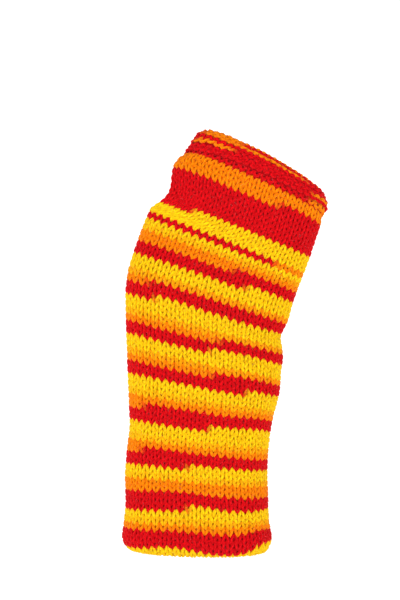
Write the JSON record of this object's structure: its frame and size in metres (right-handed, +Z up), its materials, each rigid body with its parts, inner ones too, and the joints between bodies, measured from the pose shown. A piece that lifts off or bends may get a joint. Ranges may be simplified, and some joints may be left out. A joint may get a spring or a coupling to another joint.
{
  "type": "knitted wool hand warmer",
  "caption": "Fingerless striped knitted hand warmer in its worn, bent pose: a hollow tube over forearm, wrist and palm, with a thumb opening, a turned wrist edge and a curled finger edge.",
  "frame": {"origin": "middle of the hollow at the wrist, where the wearer's wrist holds the warmer", "axes": "+X towards the little finger side, -Y out of the back of the hand, +Z up from the wrist edge to the finger edge"},
  "size_m": [0.1157, 0.0552, 0.2399],
  "materials": {
    "wrist_edge": "matt knitted wool, red over yellow",
    "arm_tube": "matt knitted wool, yellow, orange and red stripes",
    "hand_tube": "matt knitted wool, yellow, orange and red stripes",
    "finger_edge": "matt knitted wool, red, purl side out"
  },
  "bodies": {
    "root": {"wrist_edge": "wrist_edge", "arm_tube": "arm_tube", "hand_tube": "hand_tube", "finger_edge": "finger_edge"}
  },
  "joints": []
}
